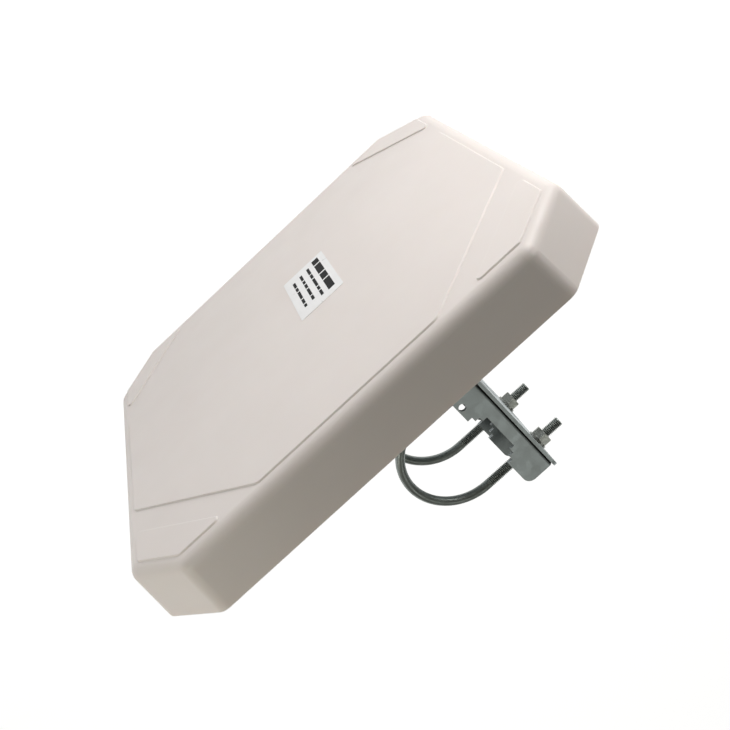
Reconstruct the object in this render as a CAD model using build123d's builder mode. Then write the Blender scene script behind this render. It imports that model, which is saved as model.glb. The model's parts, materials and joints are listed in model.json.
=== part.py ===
"""Flat panel antenna with a tilting L bracket and a two U-bolt pole clamp.

Frame: millimetres, +Z up along the pole. The origin is on the pole axis, at
mid-height of the clamp. The antenna faces -Y and the clamp nuts are at -X.
"""
from build123d import *
import math
import os

# ---------------------------------------------------------------- driving sizes
# antenna housing
PANEL_X = 8.0             # panel centre, sideways from the pole axis
FRONT_Y = -115.0          # front skin
PANEL_DEPTH = 30.0        # front skin to rear rim
PANEL_HALF = 130.0        # half the side of the front outline
PANEL_FLARE = 3.0         # each side moves out by this much towards the rim
CORNER_CUT = 31.0         # leg of the 45 degree corner
SKIN = 2.5                # radome wall
FRONT_RADIUS = 6.5        # rounding round the front face
SIDE_RADIUS = 9.0         # rounding of the eight upright corners

# relief on the front face
RELIEF_HEIGHT = 0.8
RELIEF_HALF = 123.0       # half extent of the raised octagon
RELIEF_CUT = 24.2         # its 45 degree corner leg
MAIN_REACH = 52.0         # where the main field meets the octagon's sides
CORNER_REACH = 71.8       # where a corner field meets the octagon's sides
RELIEF_RADIUS = 5.0       # rounded corners of the main field
RELIEF_TIP_RADIUS = 2.5   # rounded corners of the small fields
RELIEF_SLOPE = 35.0       # draft of the walls, degrees
RELIEF_EASE = 0.4         # eased upper edges

# metal back plate and its seal
PLATE_THICK = 2.0
RIM_LIP = 1.0             # the plate sits this far inside the rim
PLATE_GAP = 0.6           # side clearance between plate and rim
SEAL_THICK = 1.0
SEAL_WIDTH = 3.0
LEDGE_WIDTH = 6.0
LEDGE_THICK = 3.0
BOSS_RADIUS = 4.5
COVER_SCREW_INSET = 11.5  # boss centres, in from the outer side
COVER_SCREW_ALONG = 80.0  # and to both sides of the middle of each side
COVER_SCREW_RADIUS = 1.35
COVER_SCREW_LENGTH = 11.0
COVER_HEAD_RADIUS = 3.0
COVER_HEAD_HEIGHT = 1.8
COVER_HOLE_RADIUS = 1.75  # clearance in the plate
PILOT_DEPTH = 12.0
SEAL_INSET = 0.4          # the seal's outline, inside the plate's
HEAD_ROUNDING = 0.45      # share of a screw head's height
DRIVE_DEPTH = 0.5         # likewise, the cross recess
DRIVE_SPAN = 1.1          # recess length over head radius
DRIVE_WIDTH = 0.7

# radiating parts
DRIVEN_HALF = 73.0
DRIVEN_CUT = 14.0
DRIVEN_HEIGHT = 9.5       # front of the back plate to the driven patch
DIRECTOR_HALF = 65.0
DIRECTOR_HEIGHT = 17.5
PATCH_THICK = 1.0
POST_PITCH = 100.0
POST_RADIUS = 4.0
POST_SCREW_RADIUS = 1.5
POST_BORE_RADIUS = 1.6
POST_HEAD_RADIUS = 2.8
POST_HEAD_HEIGHT = 1.4
GROUND_POST_HALF = 3.0    # half across flats
GROUND_PEG_RADIUS = 1.5
GROUND_PEG_OUT = 1.2      # in front of the driven patch
PROBE_OFFSET = 25.5       # each feed point, sideways and down from the centre
BOARD_WIDTH = 60.0
BOARD_HEIGHT = 46.0
BOARD_Z = -36.0
BOARD_THICK = 1.6
BOARD_LIFT = 1.0
BOARD_CORNER = 2.0
BOARD_SCREW_INSET = 4.0
BOARD_SCREW_RADIUS = 1.2
BOARD_SCREW_SHORT = 0.2   # the tip stays inside the plate
BOARD_HOLE_RADIUS = 1.3
BOARD_HEAD_RADIUS = 2.2
BOARD_HEAD_HEIGHT = 1.2
SPACER_RADIUS = 2.5
PROBE_RADIUS = 1.6
PROBE_PIN_RADIUS = 0.65
PROBE_PIN_OUT = 0.8       # in front of the driven patch
PROBE_PATCH_HOLE = 0.7
PROBE_BOARD_HOLE = 0.8
COAX_RADIUS = 1.1
COAX_OVERRUN = 2.0        # past the connector's axis
COAX_ON_BOARD = 6.0       # soldered length on the board

# connector at the back (N socket, 5/8-24 thread)
CONNECTOR_Z = -78.0
CONNECTOR_RADIUS = 7.94
FLANGE_SIDE = 25.4
FLANGE_THICK = 3.0
FLANGE_PITCH = 18.26
FLANGE_CORNER = 2.0
FLANGE_SEAL = 0.8
FLANGE_HOLE_RADIUS = 1.6
FLANGE_SCREW_RADIUS = 1.5
FLANGE_SCREW_OUT = 1.0    # in front of the plate
FLANGE_HEAD_RADIUS = 2.6
FLANGE_HEAD_HEIGHT = 1.6
CONNECTOR_LENGTH = 12.0   # threaded barrel behind the flange
CONNECTOR_EDGE = 0.6
CONNECTOR_FEED_RADIUS = 4.0
CONNECTOR_SOCKET_RADIUS = 6.0
SOCKET_STEP = 2.0         # socket floor behind the flange
INSULATOR_GAP = 0.15
INSULATOR_NOSE_RADIUS = 3.0
INSULATOR_NOSE = 1.5
PIN_RADIUS = 0.8
SLEEVE_RADIUS = 1.5
SLEEVE_LENGTH = 5.0
SLEEVE_FLOOR = 1.0
SLEEVE_SLIT = 0.3

# pressure vent
VENT_PLACE = (78.0, -78.0)
VENT_RADIUS = 5.0
VENT_RIM = 2.5
VENT_HEIGHT = 2.4
VENT_EDGE = 0.8
VENT_FLOOR = 1.2
VENT_HOLE_RING = 3.6
VENT_HOLE_RADIUS = 0.6

# L bracket
BRACKET_THICK = 2.0
STUD_PITCH = 70.0
STUD_LENGTH = 13.0        # behind the plate
STUD_HEAD = 1.2
STUD_HEAD_RADIUS = 4.0
STUD_EDGE = 0.6
LOCK_THICK = 1.5
LOCK_RADIUS = 5.0
LOCK_SPLIT = 0.8
BASE_HALF = 45.0
BASE_WINDOW = 12.0        # radius of the hole in the base leg
BEND_RADIUS = 3.0
ARM_HALF_WIDE = 50.0      # at the bend
ARM_HALF_NARROW = 42.0    # over the clamp
ARM_END_Y = 43.0
ARM_TAPER_Y = -20.0
ARM_SHOULDER = 12.0       # full width this far from the bend
ARM_CORNER = 7.0
ARM_WINDOW = 7.0          # radius of the hole between the legs
ARM_SLOT_LENGTH = 11.0
ARM_SLOT_WIDTH = 5.5
ARM_SLOT_Y = 25.0
TILT_LIMIT = 15.0         # degrees each way

# pole clamp
LEG_PITCH = 62.0          # between the legs of one U-bolt
BOLT_PITCH_Z = 50.0       # between the two U-bolts
ROD_RADIUS = 2.7          # plain bend
THREAD_RADIUS = 2.95      # M6 thread, outside
STUD_END_X = -54.5
THREAD_START_X = -0.8
THREAD_EDGE = 0.6
LEG_HOLE_RADIUS = 3.3
JAW_BACK_X = -35.5        # outer face of the jaw's web
JAW_HEIGHT = 17.3
JAW_HALF_LENGTH = 38.0
JAW_WIDTH = 33.0
JAW_THICK = 2.0
JAW_MOUTH_HALF = 18.5
JAW_STEP = 3.0            # rise and run of each stair
JAW_STEPS = 3
JAW_CORNER = 5.0
JAW_PIN_HOLE = 2.2        # radius of the small hole in one end of each flange
JAW_PIN_Y = -27.0
JAW_PIN_X = -21.3
SLIP_GAP = 0.05           # running clearance between faces that slide
WASHER_THICK = 1.2
WASHER_RADIUS = 6.0
WASHER_GAP = 0.1          # radial, over the thread
NUT_FLATS = 10.0
NUT_THICK = 5.0
NUT_EDGE = 0.45           # depth of the rim chamfer
NUT_EDGE_WIDTH = 0.75

# label
LABEL_WIDTH = 60.0
LABEL_HEIGHT = 29.0
LABEL_THICK = 0.2
LABEL_CORNER = 1.0
LABEL_X = -6.2
LABEL_Z = -10.5

# ---------------------------------------------------------------- derived sizes
RIM_Y = FRONT_Y + PANEL_DEPTH
PLATE_BACK_Y = RIM_Y - RIM_LIP
PLATE_FRONT_Y = PLATE_BACK_Y - PLATE_THICK
LEDGE_Y = PLATE_FRONT_Y - SEAL_THICK
FLARE_RATE = PANEL_FLARE / PANEL_DEPTH
BRACKET_BACK_Y = PLATE_BACK_Y + BRACKET_THICK
ARM_OUT_X = JAW_BACK_X - SLIP_GAP
WASHER_X = ARM_OUT_X - BRACKET_THICK - SLIP_GAP
NUT_X = WASHER_X - WASHER_THICK - SLIP_GAP
HALF_PITCH_Y = LEG_PITCH / 2
HALF_PITCH_Z = BOLT_PITCH_Z / 2
SLOT_RADIUS = math.hypot(HALF_PITCH_Y, HALF_PITCH_Z)
LEG_ANGLE = math.degrees(math.atan2(HALF_PITCH_Z, HALF_PITCH_Y))
JAW_INNER_X = JAW_BACK_X + JAW_THICK
JAW_EDGE_X = JAW_BACK_X + JAW_HEIGHT

os.makedirs("parts", exist_ok=True)


def save(part, name):
    """Label a finished piece and write it to its own file."""
    part.label = name
    export_step(part, f"parts/{name}.step")


def facing_front(y, x=PANEL_X, z=0.0):
    """Plane at depth y that looks towards the front, drawn in X and Z."""
    return Plane(origin=(x, y, z), x_dir=(1, 0, 0), z_dir=(0, -1, 0))


def facing_back(y, x=PANEL_X, z=0.0):
    """Plane at depth y that looks towards the pole."""
    return Plane(origin=(x, y, z), x_dir=(-1, 0, 0), z_dir=(0, 1, 0))


def across(x, y=0.0, z=0.0):
    """Plane square to X that looks towards the nuts (-X)."""
    return Plane(origin=(x, y, z), x_dir=(0, -1, 0), z_dir=(-1, 0, 0))


def octagon(half, cut):
    """Corner points of a square with its corners cut at 45 degrees."""
    edge = half - cut
    quarter = [(half, edge), (edge, half)]
    points = []
    for turn in range(4):
        for x, z in quarter:
            for _ in range(turn):
                x, z = -z, x
            points.append((x, z))
    return points


def side_half(y):
    """Half width of the housing's outside at depth y."""
    return PANEL_HALF + (y - FRONT_Y) * FLARE_RATE


def screw_places():
    """Two cover screws along each straight side of the housing."""
    edge = side_half(LEDGE_Y) - COVER_SCREW_INSET
    along = COVER_SCREW_ALONG
    return [(edge, along), (edge, -along), (-edge, along), (-edge, -along),
            (along, edge), (-along, edge), (along, -edge), (-along, -edge)]


# ---------------------------------------------------------------- radome
def housing(front_y, back_y, inset):
    """Flared octagonal block between two depths, inset from the outside."""
    middle_y = (front_y + back_y) / 2
    with BuildPart() as block:
        for y in (back_y, front_y):
            with BuildSketch(facing_front(y)):
                Polygon(*octagon(side_half(y) - inset, CORNER_CUT), align=None)
        loft(ruled=True)
        fillet(block.edges().filter_by(
            lambda edge: abs(edge.center().Y - middle_y) < 1.0), SIDE_RADIUS - inset)
        fillet(block.faces().sort_by(Axis.Y)[0].edges(), FRONT_RADIUS - inset)
    return block.part


def relief_octagon(mode):
    """Raised area of the front, clipped to (or left outside) a smaller octagon by mode."""
    main = mode == Mode.INTERSECT
    with BuildSketch() as field:
        Polygon(*octagon(RELIEF_HALF, RELIEF_CUT), align=None)
        Polygon(*octagon(RELIEF_HALF, RELIEF_HALF - (MAIN_REACH if main else CORNER_REACH)),
                align=None, mode=mode)
        fillet(field.vertices(), RELIEF_RADIUS if main else RELIEF_TIP_RADIUS)
    return field.sketch


radome_outside = housing(FRONT_Y, RIM_Y, 0.0)
radome_hollow = housing(FRONT_Y + SKIN, LEDGE_Y, SKIN)
main_field = relief_octagon(Mode.INTERSECT)
corner_fields = relief_octagon(Mode.SUBTRACT)

with BuildPart() as radome:
    add(radome_outside)
    with BuildSketch(facing_front(FRONT_Y)):
        add(main_field)
        add(corner_fields)
    extrude(amount=RELIEF_HEIGHT, taper=RELIEF_SLOPE)
    fillet(radome.faces().filter_by(
        lambda face: face.center().Y < FRONT_Y - RELIEF_HEIGHT / 2
        and abs(face.normal_at().Y) > 0.9).edges(), RELIEF_EASE)
    add(radome_hollow, mode=Mode.SUBTRACT)
    # recess for the plate, open to the back
    with BuildSketch(facing_back(LEDGE_Y)):
        Polygon(*octagon(side_half(LEDGE_Y) - SKIN, CORNER_CUT), align=None)
    extrude(amount=RIM_Y - LEDGE_Y, mode=Mode.SUBTRACT)
    # ledge that the seal sits on
    with BuildSketch(facing_front(LEDGE_Y)):
        Polygon(*octagon(side_half(LEDGE_Y) - SKIN / 2, CORNER_CUT), align=None)
        Polygon(*octagon(side_half(LEDGE_Y) - SKIN - LEDGE_WIDTH, CORNER_CUT), align=None,
                mode=Mode.SUBTRACT)
    extrude(amount=LEDGE_THICK)
    # screw bosses from the front skin to the ledge
    with BuildSketch(facing_front(LEDGE_Y)):
        with Locations(*screw_places()):
            Circle(BOSS_RADIUS)
    extrude(amount=LEDGE_Y - FRONT_Y - SKIN / 2)
    with BuildSketch(facing_front(LEDGE_Y)):
        with Locations(*screw_places()):
            Circle(COVER_SCREW_RADIUS)
    extrude(amount=PILOT_DEPTH, mode=Mode.SUBTRACT)
save(radome.part, "radome")

# ---------------------------------------------------------------- back plate and seal
plate_half = side_half(LEDGE_Y) - SKIN - PLATE_GAP
stud_places = [(sx * STUD_PITCH / 2, sz * STUD_PITCH / 2) for sx in (1, -1) for sz in (1, -1)]
post_places = [(sx * POST_PITCH / 2, sz * POST_PITCH / 2) for sx in (1, -1) for sz in (1, -1)]
probe_places = [(PROBE_OFFSET, -PROBE_OFFSET), (-PROBE_OFFSET, -PROBE_OFFSET)]
board_screw_places = [(sx * (BOARD_WIDTH / 2 - BOARD_SCREW_INSET),
                       BOARD_Z + sz * (BOARD_HEIGHT / 2 - BOARD_SCREW_INSET))
                      for sx in (1, -1) for sz in (1, -1)]
flange_screw_places = [(sx * FLANGE_PITCH / 2, CONNECTOR_Z + sz * FLANGE_PITCH / 2)
                       for sx in (1, -1) for sz in (1, -1)]

with BuildPart() as back_plate:
    with BuildSketch(facing_front(PLATE_BACK_Y)):
        Polygon(*octagon(plate_half, CORNER_CUT), align=None)
        for places, radius in ((screw_places(), COVER_HOLE_RADIUS),
                               (stud_places, THREAD_RADIUS + SLIP_GAP),
                               (post_places, POST_BORE_RADIUS),
                               (board_screw_places, BOARD_HOLE_RADIUS),
                               (flange_screw_places, FLANGE_HOLE_RADIUS),
                               ([(0, CONNECTOR_Z)], CONNECTOR_FEED_RADIUS),
                               ([VENT_PLACE], VENT_RADIUS)):
            with Locations(*places):
                Circle(radius, mode=Mode.SUBTRACT)
    extrude(amount=PLATE_THICK)
save(back_plate.part, "back_plate")

with BuildPart() as rim_gasket:
    with BuildSketch(facing_front(PLATE_FRONT_Y)):
        Polygon(*octagon(plate_half - SEAL_INSET, CORNER_CUT), align=None)
        Polygon(*octagon(plate_half - SEAL_INSET - SEAL_WIDTH, CORNER_CUT), align=None,
                mode=Mode.SUBTRACT)
    extrude(amount=SEAL_THICK)
save(rim_gasket.part, "rim_gasket")


def pan_head_screws(places, seat, shank_radius, length, head_radius, head_height):
    """Screws that enter along the seat plane's normal, with heads on its other side."""
    with BuildPart() as screws:
        with BuildSketch(seat):
            with Locations(*places):
                Circle(shank_radius)
        extrude(amount=length)
        with BuildSketch(seat):
            with Locations(*places):
                Circle(head_radius)
        extrude(amount=-head_height)
        outward = Axis(seat.origin, -seat.z_dir)
        fillet(screws.faces().group_by(outward)[-1].edges(), head_height * HEAD_ROUNDING)
        with BuildSketch(seat.offset(-head_height * DRIVE_DEPTH)):
            with Locations(*places):
                Rectangle(head_radius * DRIVE_SPAN, DRIVE_WIDTH)
                Rectangle(DRIVE_WIDTH, head_radius * DRIVE_SPAN)
        extrude(amount=-head_height, mode=Mode.SUBTRACT)
    return screws.part


def mirrored(places):
    """The same places as seen from behind."""
    return [(-x, z) for x, z in places]


save(pan_head_screws(screw_places(), facing_front(PLATE_BACK_Y), COVER_SCREW_RADIUS,
                     COVER_SCREW_LENGTH, COVER_HEAD_RADIUS, COVER_HEAD_HEIGHT), "cover_screws")

# ---------------------------------------------------------------- radiating parts
DRIVEN_Y = PLATE_FRONT_Y - DRIVEN_HEIGHT
DIRECTOR_Y = PLATE_FRONT_Y - DIRECTOR_HEIGHT

with BuildPart() as driven_patch:
    with BuildSketch(facing_front(DRIVEN_Y)):
        Polygon(*octagon(DRIVEN_HALF, DRIVEN_CUT), align=None)
        with Locations(*post_places):
            Circle(POST_BORE_RADIUS, mode=Mode.SUBTRACT)
        with Locations(*probe_places):
            Circle(PROBE_PATCH_HOLE, mode=Mode.SUBTRACT)
        Circle(GROUND_PEG_RADIUS + SLIP_GAP, mode=Mode.SUBTRACT)
    extrude(amount=PATCH_THICK)
save(driven_patch.part, "driven_patch")

with BuildPart() as director_patch:
    with BuildSketch(facing_front(DIRECTOR_Y)):
        Rectangle(2 * DIRECTOR_HALF, 2 * DIRECTOR_HALF)
        with Locations(*post_places):
            Circle(POST_BORE_RADIUS, mode=Mode.SUBTRACT)
    extrude(amount=PATCH_THICK)
save(director_patch.part, "director_patch")


def tubes(places, from_y, length, outer, inner):
    """Hollow posts that stand on depth from_y and reach towards the front."""
    with BuildPart() as posts:
        with BuildSketch(facing_front(from_y)):
            with Locations(*places):
                Circle(outer)
                Circle(inner, mode=Mode.SUBTRACT)
        extrude(amount=length)
    return posts.part


upper_post = DIRECTOR_HEIGHT - DRIVEN_HEIGHT - PATCH_THICK
save(tubes(post_places, PLATE_FRONT_Y, DRIVEN_HEIGHT, POST_RADIUS, POST_BORE_RADIUS),
     "lower_standoffs")
save(tubes(post_places, DRIVEN_Y - PATCH_THICK, upper_post, POST_RADIUS, POST_BORE_RADIUS),
     "upper_standoffs")
save(pan_head_screws(mirrored(post_places), facing_back(DIRECTOR_Y - PATCH_THICK), POST_SCREW_RADIUS,
                     DIRECTOR_HEIGHT + PATCH_THICK + PLATE_THICK, POST_HEAD_RADIUS,
                     POST_HEAD_HEIGHT), "patch_screws")

with BuildPart() as ground_post:
    with BuildSketch(facing_front(PLATE_FRONT_Y)):
        RegularPolygon(GROUND_POST_HALF, 6, major_radius=False)
    extrude(amount=DRIVEN_HEIGHT)
    with BuildSketch(facing_front(DRIVEN_Y)):
        Circle(GROUND_PEG_RADIUS)
    extrude(amount=PATCH_THICK + GROUND_PEG_OUT)
save(ground_post.part, "ground_post")

# ---------------------------------------------------------------- feed
BOARD_Y = PLATE_FRONT_Y - BOARD_LIFT
with BuildPart() as feed_board:
    with BuildSketch(facing_front(BOARD_Y)):
        with Locations((0, BOARD_Z)):
            RectangleRounded(BOARD_WIDTH, BOARD_HEIGHT, BOARD_CORNER)
        with Locations(*board_screw_places):
            Circle(BOARD_HOLE_RADIUS, mode=Mode.SUBTRACT)
        with Locations(*probe_places):
            Circle(PROBE_BOARD_HOLE, mode=Mode.SUBTRACT)
    extrude(amount=BOARD_THICK)
save(feed_board.part, "feed_board")

save(tubes(board_screw_places, PLATE_FRONT_Y, BOARD_LIFT, SPACER_RADIUS, BOARD_HOLE_RADIUS),
     "board_spacers")
save(pan_head_screws(mirrored(board_screw_places), facing_back(BOARD_Y - BOARD_THICK),
                     BOARD_SCREW_RADIUS, BOARD_THICK + BOARD_LIFT + PLATE_THICK - BOARD_SCREW_SHORT,
                     BOARD_HEAD_RADIUS, BOARD_HEAD_HEIGHT), "board_screws")

with BuildPart() as feed_probes:
    with BuildSketch(facing_front(BOARD_Y - BOARD_THICK)):
        with Locations(*probe_places):
            Circle(PROBE_RADIUS)
    extrude(amount=DRIVEN_HEIGHT - BOARD_LIFT - BOARD_THICK)
    with BuildSketch(facing_front(BOARD_Y)):
        with Locations(*probe_places):
            Circle(PROBE_PIN_RADIUS)
    extrude(amount=DRIVEN_HEIGHT - BOARD_LIFT + PATCH_THICK + PROBE_PIN_OUT)
save(feed_probes.part, "feed_probes")

COAX_Y = BOARD_Y - BOARD_THICK - COAX_RADIUS
COAX_START_Z = CONNECTOR_Z - COAX_OVERRUN
COAX_END_Z = BOARD_Z - BOARD_HEIGHT / 2 + COAX_ON_BOARD
with BuildPart() as feed_coax:
    with BuildSketch(Plane(origin=(PANEL_X, COAX_Y, COAX_START_Z), z_dir=(0, 0, 1))):
        Circle(COAX_RADIUS)
    extrude(amount=COAX_END_Z - COAX_START_Z)
save(feed_coax.part, "feed_coax")

# ---------------------------------------------------------------- connector
FLANGE_Y = PLATE_BACK_Y + FLANGE_SEAL
SOCKET_Y = FLANGE_Y + FLANGE_THICK + SOCKET_STEP
connector_back = facing_back(FLANGE_Y, z=CONNECTOR_Z)

with BuildPart() as connector_gasket:
    with BuildSketch(facing_back(PLATE_BACK_Y, z=CONNECTOR_Z)):
        RectangleRounded(FLANGE_SIDE, FLANGE_SIDE, FLANGE_CORNER)
        Circle(CONNECTOR_FEED_RADIUS, mode=Mode.SUBTRACT)
        with GridLocations(FLANGE_PITCH, FLANGE_PITCH, 2, 2):
            Circle(FLANGE_HOLE_RADIUS, mode=Mode.SUBTRACT)
    extrude(amount=FLANGE_SEAL)
save(connector_gasket.part, "connector_gasket")

with BuildPart() as connector_body:
    with BuildSketch(connector_back):
        RectangleRounded(FLANGE_SIDE, FLANGE_SIDE, FLANGE_CORNER)
        with GridLocations(FLANGE_PITCH, FLANGE_PITCH, 2, 2):
            Circle(FLANGE_HOLE_RADIUS, mode=Mode.SUBTRACT)
    extrude(amount=FLANGE_THICK)
    with BuildSketch(connector_back):
        Circle(CONNECTOR_RADIUS)
    extrude(amount=FLANGE_THICK + CONNECTOR_LENGTH)
    chamfer(connector_body.faces().sort_by(Axis.Y)[-1].edges(), CONNECTOR_EDGE)
    with BuildSketch(connector_back):
        Circle(CONNECTOR_FEED_RADIUS)
    extrude(amount=FLANGE_THICK + SOCKET_STEP, mode=Mode.SUBTRACT)
    with BuildSketch(facing_back(SOCKET_Y, z=CONNECTOR_Z)):
        Circle(CONNECTOR_SOCKET_RADIUS)
    extrude(amount=CONNECTOR_LENGTH, mode=Mode.SUBTRACT)
save(connector_body.part, "connector_body")

with BuildPart() as connector_insulator:
    with BuildSketch(facing_back(PLATE_FRONT_Y, z=CONNECTOR_Z)):
        Circle(CONNECTOR_FEED_RADIUS - INSULATOR_GAP)
    extrude(amount=SOCKET_Y - PLATE_FRONT_Y)
    with BuildSketch(facing_back(SOCKET_Y, z=CONNECTOR_Z)):
        Circle(INSULATOR_NOSE_RADIUS)
    extrude(amount=INSULATOR_NOSE)
    with BuildSketch(facing_back(PLATE_FRONT_Y, z=CONNECTOR_Z)):
        Circle(PIN_RADIUS + SLIP_GAP)
    extrude(amount=SOCKET_Y + INSULATOR_NOSE - PLATE_FRONT_Y, mode=Mode.SUBTRACT)
save(connector_insulator.part, "connector_insulator")

SLEEVE_Y = SOCKET_Y + INSULATOR_NOSE
PIN_Y = COAX_Y + COAX_RADIUS
with BuildPart() as connector_contact:
    with BuildSketch(facing_back(PIN_Y, z=CONNECTOR_Z)):
        Circle(PIN_RADIUS)
    extrude(amount=SLEEVE_Y + SLEEVE_FLOOR - PIN_Y)
    with BuildSketch(facing_back(SLEEVE_Y, z=CONNECTOR_Z)):
        Circle(SLEEVE_RADIUS)
    extrude(amount=SLEEVE_LENGTH)
    with BuildSketch(facing_back(SLEEVE_Y + SLEEVE_FLOOR, z=CONNECTOR_Z)):
        Circle(PIN_RADIUS)
        Rectangle(3 * SLEEVE_RADIUS, SLEEVE_SLIT)
    extrude(amount=SLEEVE_LENGTH, mode=Mode.SUBTRACT)
save(connector_contact.part, "connector_contact")

save(pan_head_screws(flange_screw_places, facing_front(FLANGE_Y + FLANGE_THICK), FLANGE_SCREW_RADIUS,
                     FLANGE_THICK + FLANGE_SEAL + PLATE_THICK + FLANGE_SCREW_OUT,
                     FLANGE_HEAD_RADIUS, FLANGE_HEAD_HEIGHT), "connector_screws")

vent_behind = mirrored([VENT_PLACE])
with BuildPart() as vent_plug:
    with BuildSketch(facing_front(PLATE_BACK_Y)):
        with Locations(VENT_PLACE):
            Circle(VENT_RADIUS - SLIP_GAP)
    extrude(amount=PLATE_THICK)
    with BuildSketch(facing_back(PLATE_BACK_Y)):
        with Locations(*vent_behind):
            Circle(VENT_RADIUS + VENT_RIM)
    extrude(amount=VENT_HEIGHT)
    chamfer(vent_plug.faces().sort_by(Axis.Y)[-1].edges(), VENT_EDGE)
    with BuildSketch(facing_back(PLATE_BACK_Y + VENT_FLOOR)):
        with Locations(*vent_behind):
            with PolarLocations(VENT_HOLE_RING, 6):
                Circle(VENT_HOLE_RADIUS)
    extrude(amount=VENT_HEIGHT, mode=Mode.SUBTRACT)
save(vent_plug.part, "vent_plug")

with BuildPart() as front_label:
    with BuildSketch(facing_front(FRONT_Y - RELIEF_HEIGHT, x=LABEL_X, z=LABEL_Z)):
        RectangleRounded(LABEL_HEIGHT, LABEL_WIDTH, LABEL_CORNER)
    extrude(amount=LABEL_THICK)
save(front_label.part, "front_label")

# ---------------------------------------------------------------- bracket fixings
with BuildPart() as mounting_studs:
    with BuildSketch(facing_back(PLATE_FRONT_Y)):
        with Locations(*stud_places):
            Circle(THREAD_RADIUS)
    extrude(amount=PLATE_THICK + STUD_LENGTH)
    chamfer(mounting_studs.faces().group_by(Axis.Y)[-1].edges(), STUD_EDGE)
    with BuildSketch(facing_front(PLATE_FRONT_Y)):
        with Locations(*stud_places):
            Circle(STUD_HEAD_RADIUS)
    extrude(amount=STUD_HEAD)
save(mounting_studs.part, "mounting_studs")

LOCK_Y = BRACKET_BACK_Y + WASHER_THICK
save(tubes(stud_places, LOCK_Y, WASHER_THICK, WASHER_RADIUS, THREAD_RADIUS + WASHER_GAP), "stud_washers")

with BuildPart() as stud_lock_washers:
    with BuildSketch(facing_back(LOCK_Y)):
        with Locations(*stud_places):
            Circle(LOCK_RADIUS)
            Circle(THREAD_RADIUS + WASHER_GAP, mode=Mode.SUBTRACT)
        with Locations(*[(x, z + (LOCK_RADIUS + THREAD_RADIUS) / 2) for x, z in stud_places]):
            Rectangle(LOCK_SPLIT, LOCK_RADIUS - THREAD_RADIUS + 2 * LOCK_SPLIT, mode=Mode.SUBTRACT)
    extrude(amount=LOCK_THICK)
save(stud_lock_washers.part, "stud_lock_washers")


def hex_nut(seat, bore_radius):
    """Hexagon nut that stands on the seat plane, with both rims chamfered."""
    corner_radius = NUT_FLATS / math.sqrt(3)
    with BuildPart() as nut:
        with BuildSketch(seat):
            Circle(corner_radius)
        extrude(amount=NUT_THICK)
        chamfer(nut.edges(), NUT_EDGE, NUT_EDGE_WIDTH)
        with BuildSketch(seat):
            RegularPolygon(NUT_FLATS / 2, 6, major_radius=False)
        extrude(amount=NUT_THICK, mode=Mode.INTERSECT)
        with BuildSketch(seat):
            Circle(bore_radius)
        extrude(amount=NUT_THICK, mode=Mode.SUBTRACT)
    return nut.part


stud_nuts = [hex_nut(facing_back(LOCK_Y + LOCK_THICK, x=PANEL_X + x, z=z), THREAD_RADIUS + SLIP_GAP)
             for x, z in stud_places]
save(Compound(stud_nuts), "stud_nuts")

# ---------------------------------------------------------------- L bracket
base_right = PANEL_X + BASE_HALF

# four slots on one circle let the U-bolt legs pass as the antenna tilts
leg_angles = (LEG_ANGLE, 180 - LEG_ANGLE, 180 + LEG_ANGLE, -LEG_ANGLE)
tilt_arcs = [CenterArc((0, 0), SLOT_RADIUS, angle - TILT_LIMIT, 2 * TILT_LIMIT)
             for angle in leg_angles]

with BuildPart() as tilt_bracket:
    # base leg on the back plate
    with BuildSketch(facing_back(PLATE_BACK_Y, x=0.0)):
        with Locations((-(base_right + ARM_OUT_X - BRACKET_THICK) / 2, 0)):
            Rectangle(base_right - ARM_OUT_X + BRACKET_THICK, 2 * ARM_HALF_WIDE)
        with Locations(*[(-PANEL_X - x, z) for x, z in stud_places]):
            Circle(LEG_HOLE_RADIUS, mode=Mode.SUBTRACT)
        with Locations((-PANEL_X, 0)):
            Circle(BASE_WINDOW, mode=Mode.SUBTRACT)
    extrude(amount=BRACKET_THICK)
    fillet(tilt_bracket.edges().filter_by(Axis.Y).group_by(Axis.X)[-1], ARM_CORNER)
    # standing leg, tapered towards the clamp
    with BuildSketch(across(ARM_OUT_X)):
        arm_outline = [(-ARM_END_Y, ARM_HALF_NARROW), (-ARM_TAPER_Y, ARM_HALF_NARROW),
                       (-PLATE_BACK_Y - ARM_SHOULDER, ARM_HALF_WIDE), (-PLATE_BACK_Y, ARM_HALF_WIDE)]
        lower_outline = [(y, -z) for y, z in reversed(arm_outline)]
        Polygon(*arm_outline, *lower_outline, align=None)
        Circle(ARM_WINDOW, mode=Mode.SUBTRACT)
        with Locations((ARM_SLOT_Y, 0), (-ARM_SLOT_Y, 0)):
            SlotOverall(ARM_SLOT_LENGTH, ARM_SLOT_WIDTH, mode=Mode.SUBTRACT)
        for arc in tilt_arcs:
            SlotArc(arc, 2 * LEG_HOLE_RADIUS, mode=Mode.SUBTRACT)
    extrude(amount=BRACKET_THICK)
    fillet(tilt_bracket.edges().filter_by(Axis.X).group_by(Axis.Y)[-1], ARM_CORNER)
    inner_bend = tilt_bracket.edges().filter_by(Axis.Z).filter_by(
        lambda edge: abs(edge.center().X - ARM_OUT_X) < 0.01
        and abs(edge.center().Y - BRACKET_BACK_Y) < 0.01)
    fillet(inner_bend, BEND_RADIUS - BRACKET_THICK)
    outer_bend = tilt_bracket.edges().filter_by(Axis.Z).filter_by(
        lambda edge: abs(edge.center().X - ARM_OUT_X + BRACKET_THICK) < 0.01
        and abs(edge.center().Y - PLATE_BACK_Y) < 0.01)
    fillet(outer_bend, BEND_RADIUS)
save(tilt_bracket.part, "tilt_bracket")

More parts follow.
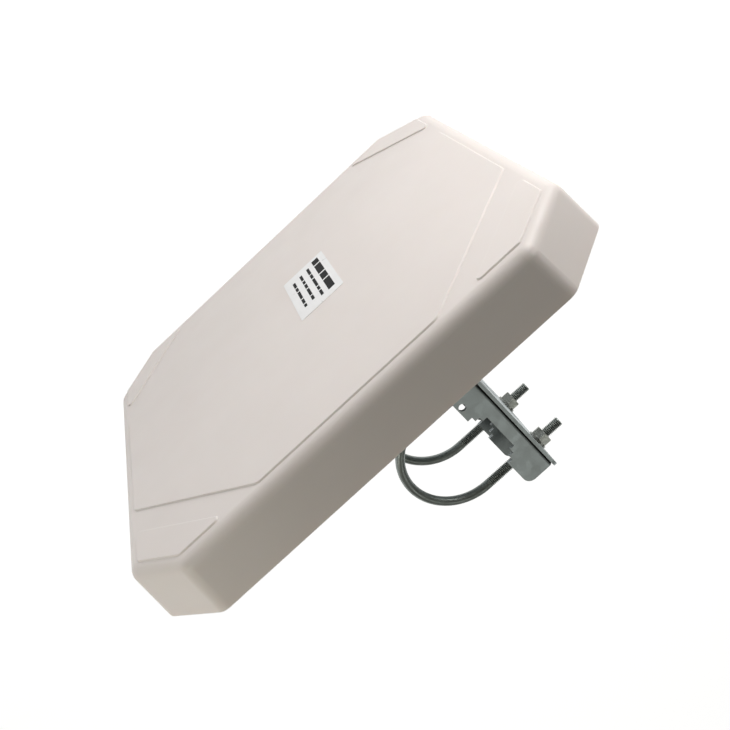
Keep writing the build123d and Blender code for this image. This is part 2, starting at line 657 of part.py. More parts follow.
# ---------------------------------------------------------------- pole clamp
def jaw_outline():
    """Side view of a jaw in X and Y, with the stairs cut down to the middle."""
    half = []
    x = JAW_EDGE_X
    y = JAW_MOUTH_HALF
    half.append((x, y))
    for _ in range(JAW_STEPS):
        x -= JAW_STEP
        half.append((x, y))
        y -= JAW_STEP
        half.append((x, y))
    half.pop()
    right = [(JAW_BACK_X, JAW_HALF_LENGTH), (JAW_EDGE_X, JAW_HALF_LENGTH)] + half
    left = [(x, -y) for x, y in reversed(right)]
    return right + left


def jaw(centre_z):
    """Channel-shaped stepped jaw round one U-bolt."""
    bottom = Plane.XY.offset(centre_z - JAW_WIDTH / 2)
    with BuildPart() as channel:
        with BuildSketch(bottom):
            Polygon(*jaw_outline(), align=None)
            with Locations((JAW_PIN_X, JAW_PIN_Y)):
                Circle(JAW_PIN_HOLE, mode=Mode.SUBTRACT)
        extrude(amount=JAW_WIDTH)
        fillet(channel.edges().filter_by(Axis.Z).filter_by(
            lambda edge: abs(abs(edge.center().Y) - JAW_HALF_LENGTH) < 0.01
            and edge.center().X > JAW_EDGE_X - 0.01), JAW_CORNER)
        bends = channel.faces().sort_by(Axis.X)[0].edges().filter_by(Axis.Y)
        fillet(bends, JAW_THICK)
        with BuildSketch(bottom.offset(JAW_THICK)):
            with Locations((JAW_INNER_X, 0)):
                Rectangle(3 * JAW_HEIGHT, 4 * JAW_HALF_LENGTH, align=(Align.MIN, Align.CENTER))
        extrude(amount=JAW_WIDTH - 2 * JAW_THICK, mode=Mode.SUBTRACT)
        with BuildSketch(across(JAW_INNER_X, z=centre_z)):
            with Locations((HALF_PITCH_Y, 0), (-HALF_PITCH_Y, 0)):
                Circle(LEG_HOLE_RADIUS)
        extrude(amount=JAW_THICK, both=True, mode=Mode.SUBTRACT)
    return channel.part


def u_bolt(z):
    """Round rod bent to a U, with threaded legs that point to -X."""
    core_end_x = STUD_END_X + THREAD_EDGE
    with BuildPart() as bolt:
        with BuildLine(Plane.XY.offset(z)):
            Line((core_end_x, -HALF_PITCH_Y), (0, -HALF_PITCH_Y))
            CenterArc((0, 0), HALF_PITCH_Y, -90, 180)
            Line((0, HALF_PITCH_Y), (core_end_x, HALF_PITCH_Y))
        with BuildSketch(Plane(origin=(core_end_x, -HALF_PITCH_Y, z), z_dir=(1, 0, 0))):
            Circle(ROD_RADIUS)
        sweep()
        with BuildSketch(Plane(origin=(STUD_END_X, 0, z), x_dir=(0, 1, 0), z_dir=(1, 0, 0))):
            with Locations((HALF_PITCH_Y, 0), (-HALF_PITCH_Y, 0)):
                Circle(THREAD_RADIUS)
        extrude(amount=THREAD_START_X - STUD_END_X)
        chamfer(bolt.faces().group_by(Axis.X)[0].edges(), THREAD_EDGE)
    return bolt.part


levels = {"upper": HALF_PITCH_Z, "lower": -HALF_PITCH_Z}
sides = {"inner": -HALF_PITCH_Y, "outer": HALF_PITCH_Y}
for level, z in levels.items():
    save(jaw(z), f"{level}_jaw")
    save(u_bolt(z), f"{level}_u_bolt")
    for side, y in sides.items():
        save(hex_nut(across(NUT_X, y, z), THREAD_RADIUS + SLIP_GAP), f"{level}_{side}_nut")

with BuildPart() as clamp_washers:
    with BuildSketch(across(WASHER_X)):
        with GridLocations(LEG_PITCH, BOLT_PITCH_Z, 2, 2):
            Circle(WASHER_RADIUS)
            Circle(THREAD_RADIUS + WASHER_GAP, mode=Mode.SUBTRACT)
    extrude(amount=WASHER_THICK)
save(clamp_washers.part, "clamp_washers")
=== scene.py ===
"""Looks for the flat panel antenna: camera, light, materials and fine geometry.

Everything is in metres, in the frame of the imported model: +Z up along the
pole, the antenna faces -Y, the clamp nuts are at -X.
"""
import bpy
import json
import math
from mathutils import Matrix, Vector


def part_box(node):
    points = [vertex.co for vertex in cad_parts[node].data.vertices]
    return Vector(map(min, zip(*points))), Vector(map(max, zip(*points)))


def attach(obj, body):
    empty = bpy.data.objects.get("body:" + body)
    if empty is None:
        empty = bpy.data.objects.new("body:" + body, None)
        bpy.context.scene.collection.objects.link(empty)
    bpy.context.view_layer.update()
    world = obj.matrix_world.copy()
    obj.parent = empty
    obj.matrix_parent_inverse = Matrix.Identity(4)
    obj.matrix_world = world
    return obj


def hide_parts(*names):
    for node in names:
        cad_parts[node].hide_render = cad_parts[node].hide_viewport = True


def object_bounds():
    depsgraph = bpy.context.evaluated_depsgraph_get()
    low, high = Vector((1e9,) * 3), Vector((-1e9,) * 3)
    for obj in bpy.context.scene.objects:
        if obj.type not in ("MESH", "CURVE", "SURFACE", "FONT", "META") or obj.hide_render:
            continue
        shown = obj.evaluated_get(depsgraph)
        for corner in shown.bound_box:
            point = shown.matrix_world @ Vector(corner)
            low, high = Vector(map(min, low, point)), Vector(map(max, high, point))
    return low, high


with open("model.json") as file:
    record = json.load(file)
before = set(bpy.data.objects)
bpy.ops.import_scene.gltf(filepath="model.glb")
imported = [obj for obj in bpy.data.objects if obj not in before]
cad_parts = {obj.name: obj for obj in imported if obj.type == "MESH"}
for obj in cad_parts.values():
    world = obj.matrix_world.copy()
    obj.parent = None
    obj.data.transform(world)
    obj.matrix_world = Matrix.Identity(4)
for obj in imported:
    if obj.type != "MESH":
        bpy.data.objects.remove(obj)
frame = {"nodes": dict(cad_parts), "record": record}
cad_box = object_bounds()
nodes = frame["nodes"]

MM = 0.001

# A Mix node's sockets share their names between data types, so the colours go by number.
FIRST_COLOUR = 6
SECOND_COLOUR = 7
MIXED_COLOUR = 2

# ---------------------------------------------------------------- camera
CAMERA_PLACE = Vector((-0.0484, -0.3080, 0.5171))
CAMERA_RIGHT = Vector((-0.7331, 0.6405, 0.2285))
CAMERA_AHEAD = Vector((0.0902, 0.4246, -0.9009))
FIELD_OF_VIEW = math.radians(38.56)
NEAREST_SEEN = 0.01


def make_camera():
    """Camera with the measured viewing direction and roll."""
    data = bpy.data.cameras.new("camera")
    data.angle = FIELD_OF_VIEW
    data.clip_start = NEAREST_SEEN
    camera = bpy.data.objects.new("camera", data)
    right = CAMERA_RIGHT.normalized()
    back = -CAMERA_AHEAD.normalized()
    up = back.cross(right).normalized()
    turn = Matrix((right, up, back)).transposed()
    camera.matrix_world = Matrix.Translation(CAMERA_PLACE) @ turn.to_4x4()
    bpy.context.scene.collection.objects.link(camera)
    bpy.context.scene.camera = camera


# ---------------------------------------------------------------- floor and light
FLOOR_DROP = 0.45        # below the object's lowest point
FLOOR_SIZE = 60.0
FLOOR_GLOW = 0.90
FLOOR_WHITE = 0.80
BACKDROP_RADIUS = 10.0
BACKDROP_GLOW = 0.97     # as bright as the distant floor, so no horizon shows
MATT = 0.9               # roughness of both

LIGHT_TARGET = Vector((0.0, -0.08, 0.0))
HORIZON_COLOUR = (0.36, 0.355, 0.34, 1)
ZENITH_COLOUR = (0.046, 0.044, 0.036, 1)
HORIZON_BAND = (0.08, 0.42)   # sine of the elevation where the fade starts and ends
LIGHTS = (
    # name, place, size, power, tint
    ("key", (-0.38, -0.40, 0.03), 0.25, 1.22, (1.0, 0.98, 0.965)),
    ("fill", (0.31, -0.13, 0.33), 0.15, 0.38, (1.0, 0.98, 0.88)),
    ("back", (0.00, 0.72, 1.05), 0.50, 0.95, (0.99, 1.0, 0.94)),
    ("glint", (-0.60, -0.20, 0.42), 0.15, 0.66, (1.0, 0.99, 0.95)),
)


def pale_material(name, white, glow):
    """Matt white that glows by itself."""
    material = bpy.data.materials.new(name)
    material.use_nodes = True
    shader = material.node_tree.nodes["Principled BSDF"]
    shader.inputs["Base Color"].default_value = (white, white, white, 1)
    shader.inputs["Roughness"].default_value = MATT
    shader.inputs["Emission Color"].default_value = (1, 1, 1, 1)
    shader.inputs["Emission Strength"].default_value = glow
    return material


def make_floor():
    """Plain pale floor well below the object."""
    bpy.ops.mesh.primitive_plane_add(size=FLOOR_SIZE)
    floor = bpy.context.object
    floor.name = "floor"
    floor.location.z = cad_box[0][2] - FLOOR_DROP
    floor.data.materials.append(pale_material("floor_white", FLOOR_WHITE, FLOOR_GLOW))


def make_backdrop():
    """Pale dome far behind everything: a plain background that gives no light."""
    bpy.ops.mesh.primitive_uv_sphere_add(radius=BACKDROP_RADIUS)
    dome = bpy.context.object
    dome.name = "backdrop"
    dome.data.materials.append(pale_material("backdrop_white", 0.0, BACKDROP_GLOW))
    dome.visible_diffuse = dome.visible_glossy = dome.visible_transmission = False
    dome.visible_volume_scatter = dome.visible_shadow = False


def add_area(name, place, size, power, tint):
    """Square soft light at place, turned to the middle of the object."""
    data = bpy.data.lights.new(name, "AREA")
    data.size = size
    data.energy = power
    data.color = tint
    lamp = bpy.data.objects.new(name, data)
    lamp.location = place
    lamp.rotation_euler = (LIGHT_TARGET - Vector(place)).to_track_quat("-Z", "Y").to_euler()
    bpy.context.scene.collection.objects.link(lamp)


def light_studio():
    """Soft key from the front and the nut side, low fills, dim surroundings."""
    world = bpy.data.worlds.new("studio")
    world.use_nodes = True
    tree = world.node_tree
    direction = tree.nodes.new("ShaderNodeTexCoord").outputs["Generated"]
    split = tree.nodes.new("ShaderNodeSeparateXYZ")
    tree.links.new(direction, split.inputs["Vector"])
    fade = tree.nodes.new("ShaderNodeMapRange")
    fade.inputs["From Min"].default_value, fade.inputs["From Max"].default_value = HORIZON_BAND
    tree.links.new(split.outputs["Z"], fade.inputs["Value"])
    blend = tree.nodes.new("ShaderNodeMix")
    blend.data_type = "RGBA"
    tree.links.new(fade.outputs["Result"], blend.inputs["Factor"])
    blend.inputs[FIRST_COLOUR].default_value = HORIZON_COLOUR
    blend.inputs[SECOND_COLOUR].default_value = ZENITH_COLOUR
    tree.links.new(blend.outputs[MIXED_COLOUR], tree.nodes["Background"].inputs["Color"])
    bpy.context.scene.world = world
    bpy.context.scene.view_settings.view_transform = "Standard"
    for row in LIGHTS:
        add_area(*row)


# ---------------------------------------------------------------- node helpers
EDGE_SAMPLES = 4
EDGE_TURN = (0.995, 0.85)     # cosine of the normals' angle where an edge starts and is full
RECESS_SAMPLES = 8


class Graph:
    """Small helper that adds and joins nodes in one material."""

    def __init__(self, name):
        self.material = bpy.data.materials.new(name)
        self.material.use_nodes = True
        self.tree = self.material.node_tree
        self.shader = self.tree.nodes["Principled BSDF"]
        self.place = self.tree.nodes.new("ShaderNodeTexCoord").outputs["Object"]

    def join(self, source, target):
        """Link an output to an input."""
        self.tree.links.new(source, target)

    def put(self, socket, value):
        """Give a socket a plain value, or join it to another node's output."""
        if isinstance(value, bpy.types.NodeSocket):
            self.join(value, socket)
        else:
            socket.default_value = value

    def put_colour(self, socket, value):
        """Give a socket a plain colour, or join it to another node's output."""
        self.put(socket, (*value, 1.0) if isinstance(value, tuple) else value)

    def noise(self, scale, detail=3.0, roughness=0.55, place=None):
        """Cloudy value about 0.5; scale is features per metre."""
        node = self.tree.nodes.new("ShaderNodeTexNoise")
        node.inputs["Scale"].default_value = scale
        node.inputs["Detail"].default_value = detail
        node.inputs["Roughness"].default_value = roughness
        self.join(place or self.place, node.inputs["Vector"])
        return node.outputs["Fac"]

    def cells(self, scale):
        """Random value per cell, as on spangled zinc."""
        node = self.tree.nodes.new("ShaderNodeTexVoronoi")
        node.inputs["Scale"].default_value = scale
        self.join(self.place, node.inputs["Vector"])
        split = self.tree.nodes.new("ShaderNodeSeparateColor")
        self.join(node.outputs["Color"], split.inputs["Color"])
        return split.outputs["Red"]

    def stretched(self, factors):
        """Object coordinates scaled differently along each axis."""
        node = self.tree.nodes.new("ShaderNodeMapping")
        node.inputs["Scale"].default_value = factors
        self.join(self.place, node.inputs["Vector"])
        return node.outputs["Vector"]

    def remap(self, value, low, high, to_low=0.0, to_high=1.0):
        """Carry the range low to high over to to_low to to_high, and clamp it there."""
        node = self.tree.nodes.new("ShaderNodeMapRange")
        node.inputs["From Min"].default_value = low
        node.inputs["From Max"].default_value = high
        node.inputs["To Min"].default_value = to_low
        node.inputs["To Max"].default_value = to_high
        self.join(value, node.inputs["Value"])
        return node.outputs["Result"]

    def mix(self, factor, first, second):
        """Colour mix of two colours or sockets."""
        node = self.tree.nodes.new("ShaderNodeMix")
        node.data_type = "RGBA"
        self.put(node.inputs["Factor"], factor)
        self.put_colour(node.inputs[FIRST_COLOUR], first)
        self.put_colour(node.inputs[SECOND_COLOUR], second)
        return node.outputs[MIXED_COLOUR]

    def arithmetic(self, first, second, kind="ADD"):
        """Sum, or another operation, of two values or sockets."""
        node = self.tree.nodes.new("ShaderNodeMath")
        node.operation = kind
        for socket, value in zip(node.inputs, (first, second)):
            self.put(socket, value)
        return node.outputs[0]

    def edges(self, radius):
        """1 on outer and inner edges within radius, 0 on flat faces."""
        bevel = self.tree.nodes.new("ShaderNodeBevel")
        bevel.samples = EDGE_SAMPLES
        bevel.inputs["Radius"].default_value = radius
        geometry = self.tree.nodes.new("ShaderNodeNewGeometry")
        dot = self.tree.nodes.new("ShaderNodeVectorMath")
        dot.operation = "DOT_PRODUCT"
        self.join(bevel.outputs["Normal"], dot.inputs[0])
        self.join(geometry.outputs["Normal"], dot.inputs[1])
        return self.remap(dot.outputs["Value"], *EDGE_TURN)

    def recess(self, reach, low, high):
        """0 deep in a recess and 1 in the open; it masks painted shade."""
        node = self.tree.nodes.new("ShaderNodeAmbientOcclusion")
        node.samples = RECESS_SAMPLES
        node.inputs["Distance"].default_value = reach
        return self.remap(node.outputs["AO"], low, high)

    def convexity(self, low, high):
        """0 in grooves and 1 on crests of finely modelled shapes; it masks painted shade and highlights.
        """
        node = self.tree.nodes.new("ShaderNodeNewGeometry")
        return self.remap(node.outputs["Pointiness"], low, high)

    def bump(self, height, distance, strength, normal=None):
        """Normal disturbed by a height, over another normal if one is given."""
        node = self.tree.nodes.new("ShaderNodeBump")
        node.inputs["Strength"].default_value = strength
        node.inputs["Distance"].default_value = distance
        self.join(height, node.inputs["Height"])
        if normal is not None:
            self.join(normal, node.inputs["Normal"])
        return node.outputs["Normal"]

    def finish(self, colour, roughness, normal=None, metallic=0.0, **constants):
        """Fill the shader's sockets and return the material."""
        self.join(colour, self.shader.inputs["Base Color"])
        self.put(self.shader.inputs["Roughness"], roughness)
        self.shader.inputs["Metallic"].default_value = metallic
        if normal is not None:
            self.join(normal, self.shader.inputs["Normal"])
        for name, value in constants.items():
            self.shader.inputs[name.replace("_", " ")].default_value = value
        return self.material


# ---------------------------------------------------------------- materials
def moulded_shell():
    """Warm ivory weatherproof plastic with specks of dust, a fine spark-eroded grain and a painted
    highlight along its edges.
    """
    g = Graph("shell_ivory")
    cloud = g.remap(g.noise(9.0, 4.0), 0.35, 0.65)
    colour = g.mix(cloud, (0.768, 0.697, 0.664), (0.796, 0.724, 0.692))
    dust = g.remap(g.noise(420.0, 5.0, 0.7), 0.66, 0.82, 0.0, 0.35)
    colour = g.mix(dust, colour, (0.74, 0.67, 0.63))
    # Painted highlight: the shell's outer and inner edges are lightened to stand in for light catching
    # them.
    colour = g.mix(g.arithmetic(g.edges(1.2 * MM), 0.5, "MULTIPLY"), colour, (0.88, 0.85, 0.82))
    roughness = g.remap(g.noise(60.0, 3.0), 0.3, 0.7, 0.36, 0.48)
    grain = g.bump(g.noise(2600.0, 2.0), 0.02 * MM, 0.55)
    peel = g.bump(g.noise(150.0, 2.0), 0.04 * MM, 0.4, grain)
    return g.finish(colour, roughness, peel, Specular_IOR_Level=0.45, Subsurface_Weight=0.04)


def zinc_sheet():
    """Zinc plated pressed steel: faint spangle, brighter cut edges, and painted shade darkening its
    recesses.
    """
    g = Graph("zinc_sheet")
    spangle = g.cells(260.0)
    cloud = g.remap(g.noise(40.0, 5.0), 0.3, 0.7)
    colour = g.mix(spangle, (0.500, 0.560, 0.575), (0.560, 0.620, 0.635))
    colour = g.mix(g.arithmetic(cloud, 0.45, "MULTIPLY"), colour, (0.590, 0.635, 0.635))
    colour = g.mix(g.arithmetic(g.edges(0.35 * MM), 0.8, "MULTIPLY"), colour, (0.80, 0.82, 0.81))
    # Painted shade: the colour goes nearly black where the ambient occlusion finds a recess.
    colour = g.mix(g.recess(25.0 * MM, 0.40, 0.94), (0.07, 0.075, 0.075), colour)
    roughness = g.arithmetic(g.remap(spangle, 0.0, 1.0, 0.0, 0.10), g.remap(cloud, 0.0, 1.0, 0.38, 0.50))
    normal = g.bump(g.noise(900.0, 4.0), 0.02 * MM, 0.5)
    return g.finish(colour, roughness, normal, metallic=0.75)


def zinc_fixings():
    """Plated nuts and washers with a slightly warm passivation."""
    g = Graph("zinc_fixings")
    cloud = g.remap(g.noise(260.0, 4.0), 0.3, 0.7)
    colour = g.mix(cloud, (0.37, 0.38, 0.35), (0.48, 0.495, 0.47))
    colour = g.mix(g.arithmetic(g.edges(0.25 * MM), 0.7, "MULTIPLY"), colour, (0.78, 0.77, 0.73))
    roughness = g.remap(g.noise(500.0, 3.0), 0.3, 0.7, 0.30, 0.46)
    normal = g.bump(g.noise(1800.0, 3.0), 0.02 * MM, 0.5)
    return g.finish(colour, roughness, normal, metallic=0.9)


def zinc_rod():
    """Drawn and plated rod, darker than the sheet, with a painted highlight on the thread crests and
    painted shade in the grooves.
    """
    g = Graph("zinc_rod")
    cloud = g.remap(g.noise(120.0, 5.0), 0.3, 0.7)
    plain = g.mix(cloud, (0.215, 0.245, 0.235), (0.31, 0.345, 0.335))
    # Painted highlight: the thread crests are lightened.
    crest = g.mix(g.convexity(0.50, 0.60), plain, (0.50, 0.52, 0.49))
    # Painted shade: the thread grooves are darkened nearly to black.
    colour = g.mix(g.convexity(0.42, 0.495), (0.035, 0.038, 0.036), crest)
    roughness = g.remap(g.noise(300.0, 3.0), 0.3, 0.7, 0.34, 0.52)
    normal = g.bump(g.noise(1200.0, 4.0), 0.03 * MM, 0.6)
    return g.finish(colour, roughness, normal, metallic=0.85)


def rolled_aluminium():
    """Rolled sheet with fine lines along X."""
    g = Graph("rolled_aluminium")
    lines = g.noise(1.0, 4.0, 0.6, g.stretched((60.0, 60.0, 5200.0)))
    colour = g.mix(g.remap(lines, 0.3, 0.7), (0.60, 0.61, 0.62), (0.72, 0.73, 0.74))
    smear = g.remap(g.noise(18.0, 5.0), 0.45, 0.75, 0.0, 0.5)
    colour = g.mix(smear, colour, (0.55, 0.555, 0.56))
    roughness = g.remap(lines, 0.3, 0.7, 0.30, 0.42)
    return g.finish(colour, roughness, g.bump(lines, 0.01 * MM, 0.6), metallic=0.95)


def stainless():
    """Bright screw steel."""
    g = Graph("stainless")
    cloud = g.remap(g.noise(700.0, 3.0), 0.3, 0.7)
    colour = g.mix(cloud, (0.56, 0.56, 0.55), (0.68, 0.68, 0.66))
    colour = g.mix(g.edges(0.15 * MM), colour, (0.80, 0.80, 0.78))
    roughness = g.remap(cloud, 0.0, 1.0, 0.22, 0.34)
    return g.finish(colour, roughness, g.bump(g.noise(2400.0), 0.01 * MM, 0.5), metallic=0.95)


def nickel():
    """Nickel plated connector."""
    g = Graph("nickel_plate")
    cloud = g.remap(g.noise(300.0, 4.0), 0.3, 0.7)
    colour = g.mix(cloud, (0.62, 0.60, 0.55), (0.70, 0.68, 0.63))
    colour = g.mix(g.edges(0.2 * MM), colour, (0.85, 0.84, 0.80))
    roughness = g.remap(cloud, 0.0, 1.0, 0.16, 0.28)
    return g.finish(colour, roughness, g.bump(g.noise(1500.0), 0.01 * MM, 0.4), metallic=1.0)


def brass():
    """Turned brass."""
    g = Graph("turned_brass")
    cloud = g.remap(g.noise(400.0, 4.0), 0.3, 0.7)
    colour = g.mix(cloud, (0.62, 0.45, 0.18), (0.76, 0.58, 0.28))
    roughness = g.remap(cloud, 0.0, 1.0, 0.22, 0.36)
    return g.finish(colour, roughness, g.bump(g.noise(2000.0), 0.01 * MM, 0.5), metallic=1.0)


def soft_plastic(name, dark, light, roughness):
    """Plain moulded plastic or rubber in two near tones."""
    g = Graph(name)
    cloud = g.remap(g.noise(90.0, 4.0), 0.3, 0.7)
    colour = g.mix(cloud, dark, light)
    rough = g.remap(g.noise(200.0, 3.0), 0.3, 0.7, roughness - 0.05, roughness + 0.07)
    return g.finish(colour, rough, g.bump(g.noise(1400.0, 3.0), 0.02 * MM, 0.6))


def label_film():
    """White printed film with a slight gloss."""
    g = Graph("label_film")
    cloud = g.remap(g.noise(70.0, 4.0), 0.3, 0.7)
    colour = g.mix(cloud, (0.80, 0.80, 0.81), (0.86, 0.86, 0.865))
    roughness = g.remap(cloud, 0.0, 1.0, 0.26, 0.34)
    return g.finish(colour, roughness, g.bump(g.noise(500.0, 2.0), 0.01 * MM, 0.4))


def label_ink():
    """Matt black print."""
    g = Graph("label_ink")
    speck = g.remap(g.noise(1500.0, 3.0), 0.4, 0.8)
    colour = g.mix(speck, (0.008, 0.008, 0.009), (0.022, 0.022, 0.024))
    return g.finish(colour, 0.65, g.bump(g.noise(2500.0, 2.0), 0.005 * MM, 0.4), Specular_IOR_Level=0.15)


SLOT_MATERIALS = {
    "asa_shell": moulded_shell(),
    "sheet_aluminium": rolled_aluminium(),
    "seal_rubber": soft_plastic("seal_rubber", (0.018, 0.018, 0.018), (0.03, 0.03, 0.03), 0.7),
    "stainless_fixings": stainless(),
    "nylon": soft_plastic("nylon", (0.78, 0.76, 0.70), (0.84, 0.83, 0.78), 0.42),
    "brass_parts": brass(),
    "circuit_board": soft_plastic("circuit_board", (0.03, 0.16, 0.07), (0.05, 0.21, 0.10), 0.35),
    "coax_copper": brass(),
    "nickel_plate": nickel(),
    "ptfe": soft_plastic("ptfe", (0.82, 0.82, 0.80), (0.88, 0.88, 0.86), 0.45),
    "black_plastic": soft_plastic("black_plastic", (0.015, 0.015, 0.016), (0.028, 0.028, 0.03), 0.5),
    "label_film": label_film(),
    "zinc_sheet": zinc_sheet(),
    "zinc_fixings": zinc_fixings(),
    "zinc_rod": zinc_rod(),
}


def dress_nodes():
    """Give each CAD node the material of its slot in the record."""
    slots = {row["node"]: row["material_slot"] for row in frame["record"]["subparts"]}
    for name, node in nodes.items():
        for index in range(len(node.data.materials)):
            node.data.materials[index] = SLOT_MATERIALS[slots[name]]


# ---------------------------------------------------------------- mesh helpers
def new_piece(name, vertices, faces, material, smooth=True):
    """Mesh object from plain lists of points and polygons."""
    mesh = bpy.data.meshes.new(name)
    mesh.from_pydata(vertices, [], faces)
    mesh.validate()
    mesh.update()
    mesh.polygons.foreach_set("use_smooth", [smooth] * len(mesh.polygons))
    mesh.materials.append(material)
    piece = bpy.data.objects.new(name, mesh)
    bpy.context.scene.collection.objects.link(piece)
    return piece


def append_shell(vertices, faces, shell_vertices, shell_faces):
    """Add one closed shell to a list of points and polygons."""
    start = len(vertices)
    vertices += shell_vertices
    faces += [tuple(corner + start for corner in face) for face in shell_faces]


BOLT_CREST = 2.93 * MM   # radii of the M6 thread
BOLT_ROOT = 2.38 * MM
BOLT_PITCH = 1.0 * MM
THREAD_SIDES = 32
RINGS_PER_TURN = 8
CREST_SHARE = 0.18       # share of half a pitch that the crest takes
FLANK_SHARE = 0.62       # and the flank; the rest is the root
TIP_CHAMFER = 0.55 * MM
RUN_OUT_TURNS = 2.0


def thread_height(turn):
    """0 at the root and 1 at the crest of a rounded thread; turn counts whole pitches."""
    away = abs((turn % 1.0) - 0.5) * 2.0
    ramp = min(max((away - CREST_SHARE) / FLANK_SHARE, 0.0), 1.0)
    return 1.0 - ramp * ramp * (3.0 - 2.0 * ramp)


def thread_radius(along, angle, length, core=None):
    """Radius of a threaded rod at a distance from its tip, with a chamfered tip.

    Where a core radius is given, the thread runs out into it over the last turns.
    """
    height = thread_height(along / BOLT_PITCH - angle / math.tau)
    radius = BOLT_ROOT + (BOLT_CREST - BOLT_ROOT) * height
    radius = min(radius, BOLT_CREST - TIP_CHAMFER + along)
    if core is not None:
        fade = min(max((along - length) / (RUN_OUT_TURNS * BOLT_PITCH) + 1.0, 0.0), 1.0)
        radius += (core - radius) * fade
    return radius


def swept_tube(stations, radius_at):
    """Closed tube through stations of (centre, first axis, second axis)."""
    vertices = []
    faces = []
    for row, (centre, first, second) in enumerate(stations):
        for side in range(THREAD_SIDES):
            angle = math.tau * side / THREAD_SIDES
            spoke = first * math.cos(angle) + second * math.sin(angle)
            vertices.append(centre + spoke * radius_at(row, angle))
    for row in range(len(stations) - 1):
        base = row * THREAD_SIDES
        for side in range(THREAD_SIDES):
            after = (side + 1) % THREAD_SIDES
            above = base + THREAD_SIDES
            faces.append((base + side, base + after, above + after, above + side))
    last = (len(stations) - 1) * THREAD_SIDES
    faces.append(tuple(reversed(range(THREAD_SIDES))))
    faces.append(tuple(range(last, last + THREAD_SIDES)))
    return vertices, faces


# ---------------------------------------------------------------- U-bolts
ROD_RADIUS = 2.7 * MM    # between root and crest, because the threads are rolled
LEG_TIP_X = -54.5 * MM
THREAD_LENGTH = 53.0 * MM
BEND_HALF = 31.0 * MM
BEND_STEPS = 72
UP = Vector((0, 0, 1))


def u_bolt(level):
    """Bent rod with rolled threads on both legs, in place of the CAD rod."""
    node = f"{level}_u_bolt"
    low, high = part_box(node)
    z = (low.z + high.z) / 2
    step = BOLT_PITCH / RINGS_PER_TURN
    leg_steps = int(-LEG_TIP_X / step)
    centres = []             # point, direction of the rod, distance from the nearer tip
    for index in range(leg_steps + 1):
        spot = Vector((LEG_TIP_X + index * step, -BEND_HALF, z))
        centres.append((spot, Vector((1, 0, 0)), index * step))
    for index in range(1, BEND_STEPS):
        turn = math.pi * index / BEND_STEPS
        spot = Vector((math.sin(turn) * BEND_HALF, -math.cos(turn) * BEND_HALF, z))
        centres.append((spot, Vector((math.cos(turn), math.sin(turn), 0)), -LEG_TIP_X))
    for index in range(leg_steps, -1, -1):
        spot = Vector((LEG_TIP_X + index * step, BEND_HALF, z))
        centres.append((spot, Vector((-1, 0, 0)), index * step))
    stations = [(spot, UP, ahead.cross(UP)) for spot, ahead, _ in centres]
    from_tip = [along for _, _, along in centres]
    far_leg = len(centres) - leg_steps - 1

    def radius_at(row, angle):
        """The far leg runs back to its tip, so its helix is mirrored to stay right-handed."""
        side = -angle if row >= far_leg else angle
        return thread_radius(from_tip[row], side, THREAD_LENGTH, ROD_RADIUS)

    vertices, faces = swept_tube(stations, radius_at)
    piece = new_piece(f"{level}_threaded_rod", vertices, faces, SLOT_MATERIALS["zinc_rod"])
    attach(piece, node)
    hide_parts(node)


# ---------------------------------------------------------------- studs on the back plate
STUD_HEAD_RADIUS = 4.0 * MM
STUD_HEAD_THICK = 1.2 * MM
STUD_CENTRE_X = 8.0 * MM
STUD_HALF_PITCH = 35.0 * MM


def studs():
    """Four threaded studs with flat heads behind the bracket's base."""
    low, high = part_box("mounting_studs")
    step = BOLT_PITCH / RINGS_PER_TURN
    rows = int((high.y - low.y - STUD_HEAD_THICK) / step)
    inward = Vector((0, -1, 0))
    vertices = []
    faces = []
    for x_side in (-1, 1):
        for z_side in (-1, 1):
            x = STUD_CENTRE_X + x_side * STUD_HALF_PITCH
            z = z_side * STUD_HALF_PITCH
            places = [Vector((x, high.y, z)) + inward * step * row for row in range(rows + 1)]
            places += [Vector((x, low.y + STUD_HEAD_THICK, z)), Vector((x, low.y, z))]
            stations = [(place, UP, inward.cross(UP)) for place in places]

            def radius_at(row, angle):
                if row > rows:
                    return STUD_HEAD_RADIUS
                return thread_radius(row * step, angle, rows * step)

            append_shell(vertices, faces, *swept_tube(stations, radius_at))
    piece = new_piece("threaded_studs", vertices, faces, SLOT_MATERIALS["stainless_fixings"])
    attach(piece, "antenna")
    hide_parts("mounting_studs")


# ---------------------------------------------------------------- label
LABEL_CORNER = 1.2 * MM
LABEL_SHEET = 0.15 * MM
INK_THICK = 0.03 * MM
CORNER_STEPS = 6
HEADING = (3.5, 6.2, 4.4)     # left end from the left edge, middle from the top edge, height, in mm
HEADING_BARS = (7.0, 13.5, 9.0, 15.5)
HEADING_GAP = 1.5
LINE_MIDDLES = (12.4, 17.8, 23.2)
LINE_HEIGHT = 1.8
LINE_LEFTS = (7.0, 8.0, 9.5)
LINE_DASHES = ((9.5, 6.0, 12.0, 5.0, 7.5), (8.0, 4.5, 6.0, 10.5, 6.0), (7.5, 5.0, 11.0, 6.5, 4.0))
LINE_GAP = 1.3
BLOCK_FACES = ((0, 1, 2, 3), (7, 6, 5, 4), (0, 4, 5, 1), (1, 5, 6, 2), (2, 6, 7, 3), (3, 7, 4, 0))


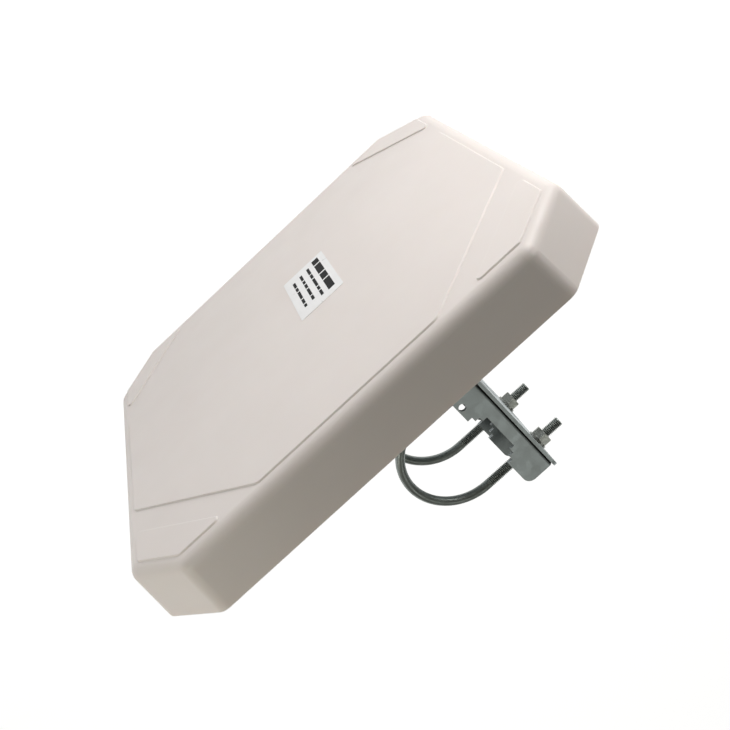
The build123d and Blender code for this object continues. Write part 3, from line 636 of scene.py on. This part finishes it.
def printed_bars():
    """Left end, middle, width and height of each bar, in mm from the sheet's left and top edges."""
    bars = []
    left, middle, height = HEADING
    for width in HEADING_BARS:
        bars.append((left, middle, width, height))
        left += width + HEADING_GAP
    for left, middle, dashes in zip(LINE_LEFTS, LINE_MIDDLES, LINE_DASHES):
        for width in dashes:
            bars.append((left, middle, width, LINE_HEIGHT))
            left += width + LINE_GAP
    return bars


def label():
    """White sheet with printed bars in place of lettering; lines read along +Z."""
    low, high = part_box("front_label")
    corners = ((high.x, high.z, 0), (low.x, high.z, 1), (low.x, low.z, 2), (high.x, low.z, 3))
    outline = []
    for x, z, quarter in corners:
        middle_x = x - math.copysign(LABEL_CORNER, x - (low.x + high.x) / 2)
        middle_z = z - math.copysign(LABEL_CORNER, z - (low.z + high.z) / 2)
        for index in range(CORNER_STEPS + 1):
            angle = math.pi / 2 * (quarter + index / CORNER_STEPS)
            x_on_arc = middle_x + LABEL_CORNER * math.cos(angle)
            outline.append((x_on_arc, middle_z + LABEL_CORNER * math.sin(angle)))
    count = len(outline)
    front = high.y - LABEL_SHEET
    vertices = [(x, high.y, z) for x, z in outline] + [(x, front, z) for x, z in outline]
    faces = [tuple(range(count)), tuple(reversed(range(count, 2 * count)))]
    for index in range(count):
        after = (index + 1) % count
        faces.append((index, index + count, after + count, after))
    sheet = new_piece("label_sheet", vertices, faces, SLOT_MATERIALS["label_film"], smooth=False)
    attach(sheet, "antenna")
    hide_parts("front_label")

    ink_points = []
    ink_faces = []
    for left, middle, width, height in printed_bars():
        near_z = low.z + left * MM
        far_z = near_z + width * MM
        near_x = low.x + (middle - height / 2) * MM
        far_x = near_x + height * MM
        around = ((near_x, near_z), (far_x, near_z), (far_x, far_z), (near_x, far_z))
        block = [(x, y, z) for y in (front, front - INK_THICK) for x, z in around]
        append_shell(ink_points, ink_faces, block, BLOCK_FACES)
    ink = new_piece("label_print", ink_points, ink_faces, label_ink(), smooth=False)
    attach(ink, "antenna")


make_camera()
make_floor()
make_backdrop()
light_studio()
dress_nodes()
u_bolt("upper")
u_bolt("lower")
studs()
label()
